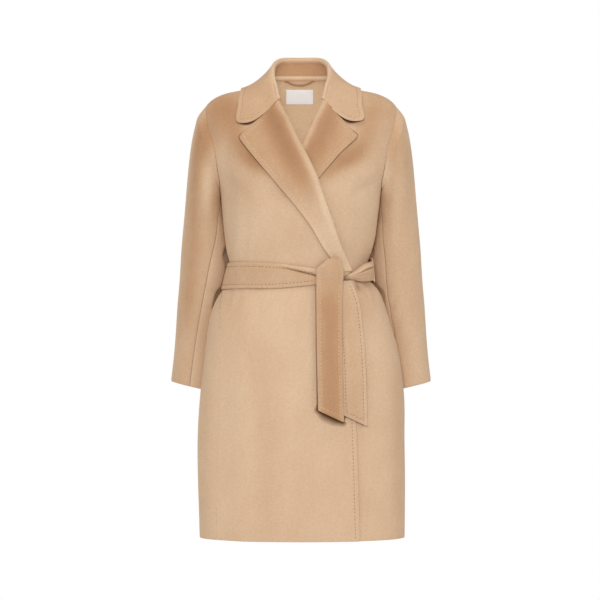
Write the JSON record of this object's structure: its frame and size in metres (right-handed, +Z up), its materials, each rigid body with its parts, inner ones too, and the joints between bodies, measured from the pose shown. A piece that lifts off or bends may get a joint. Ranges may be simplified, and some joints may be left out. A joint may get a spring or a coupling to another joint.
{
  "type": "wool wrap coat",
  "caption": "Knee-length wrap coat of camel wool with notched lapels, a tied belt and open sleeves, hollow and filled out as worn.",
  "frame": {"origin": "between the shoulders, level with the base of the neck, where the wearer carries the coat", "axes": "+Z up, -Y out of the front, +X to the wearer's left"},
  "size_m": [0.5797, 0.2875, 1.0595],
  "materials": {
    "wool": "brushed camel wool with a short nap",
    "label": "bare woven satin label"
  },
  "bodies": {
    "root": {"back": "wool", "front_right": "wool", "front_left": "wool", "lapel_right": "wool", "lapel_left": "wool", "collar": "wool", "collar_stand": "wool", "sleeve_right_upper": "wool", "sleeve_right_under": "wool", "sleeve_left_upper": "wool", "sleeve_left_under": "wool", "belt_band": "wool", "belt_turn": "wool", "belt_knot": "wool", "belt_tail_front": "wool", "belt_tail_back": "wool", "belt_loop_right": "wool", "belt_loop_left": "wool", "hanger_loop": "wool", "label": "label"}
  },
  "joints": []
}
